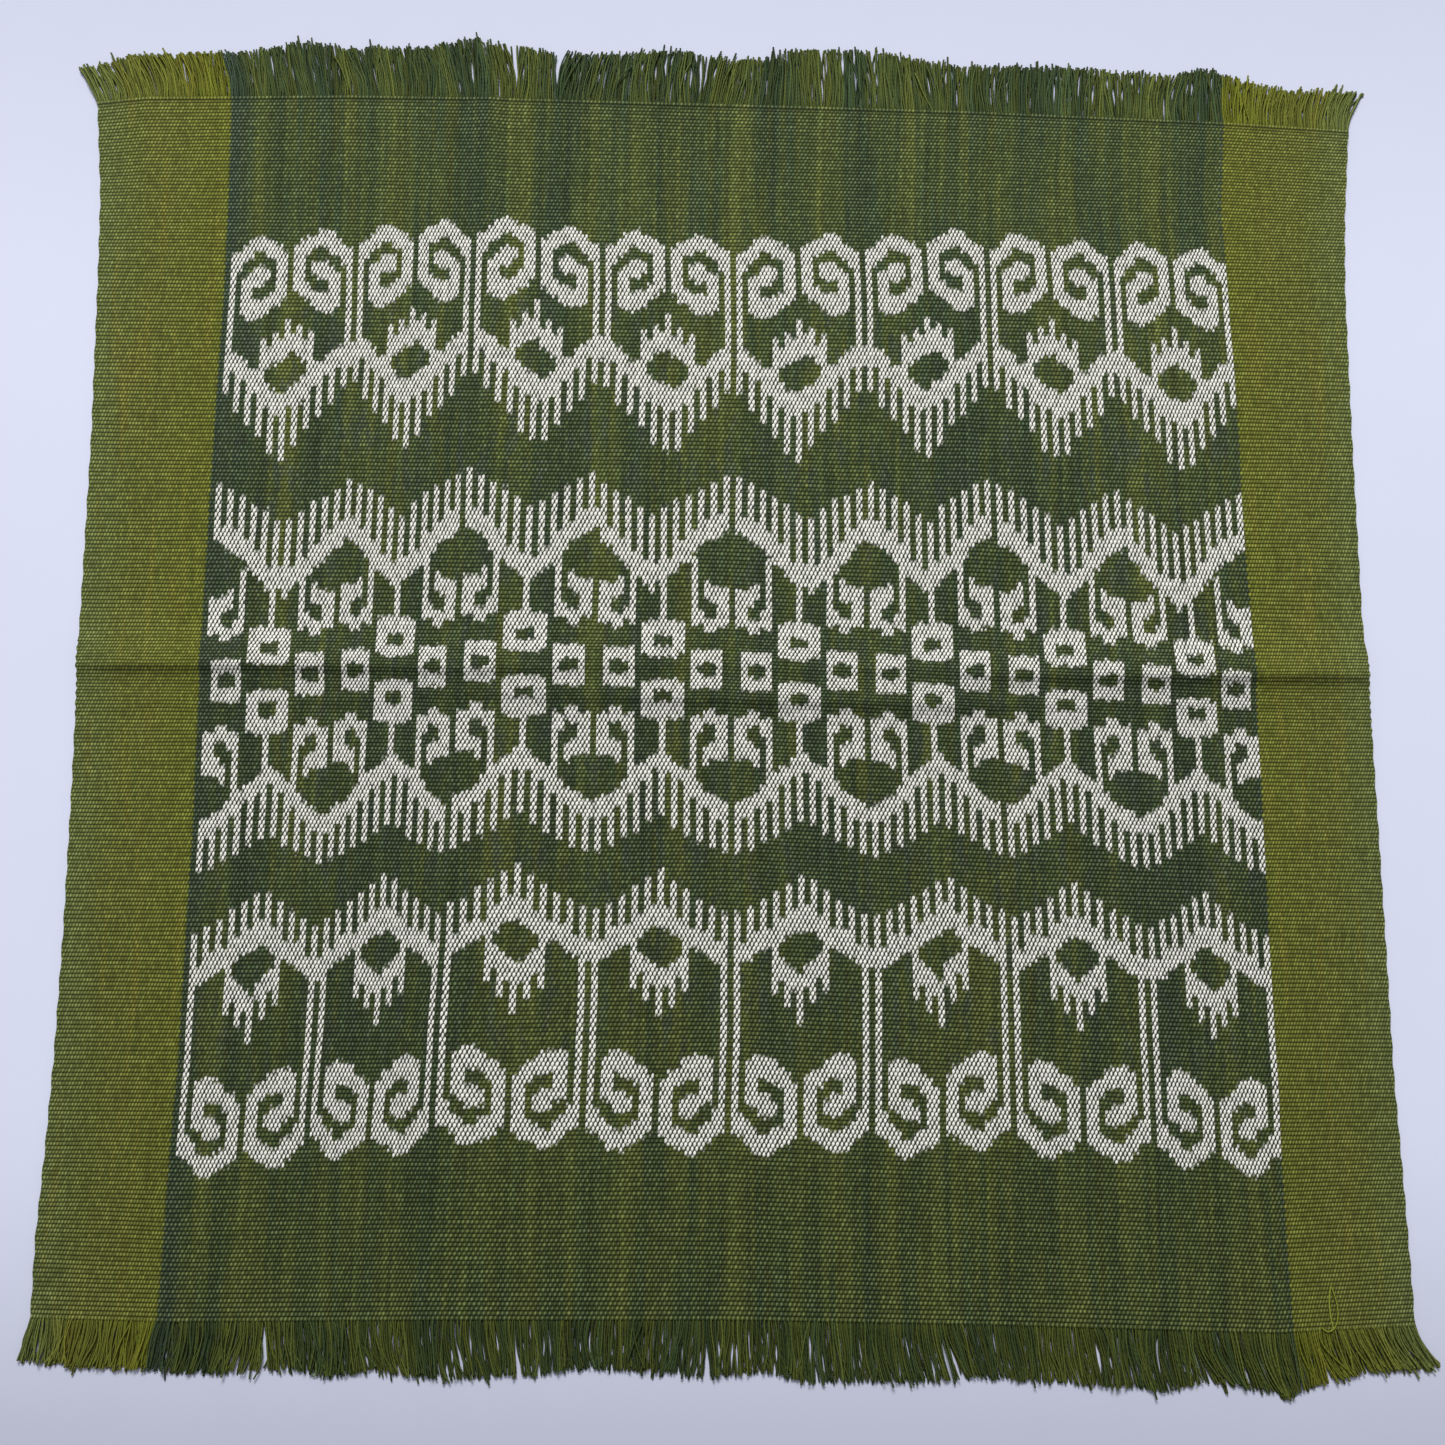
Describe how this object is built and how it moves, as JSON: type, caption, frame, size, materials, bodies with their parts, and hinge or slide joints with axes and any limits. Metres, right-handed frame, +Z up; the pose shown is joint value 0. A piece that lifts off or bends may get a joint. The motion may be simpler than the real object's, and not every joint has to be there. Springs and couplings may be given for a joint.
{
  "type": "ikat woven mat",
  "caption": "Square hand-woven ikat mat, hooked scrolls and comb bands in a dark panel between plain side stripes, cut-warp fringe at both ends, lying flat.",
  "frame": {"origin": "middle of the whole mat's underside, fringes included, on the surface it lies on", "axes": "+Z up from the surface, +Y along the warp towards the far fringe, +X along the weft to the right"},
  "size_m": [0.4854, 0.4906, 0.0039],
  "materials": {
    "ikat_cloth": "matte plain weave, olive and blue-green with undyed resist pattern",
    "fringe_yarn": "matte loose cotton warp ends"
  },
  "bodies": {
    "root": {"cloth": "ikat_cloth", "fringe_far": "fringe_yarn", "fringe_near": "fringe_yarn"}
  },
  "joints": []
}
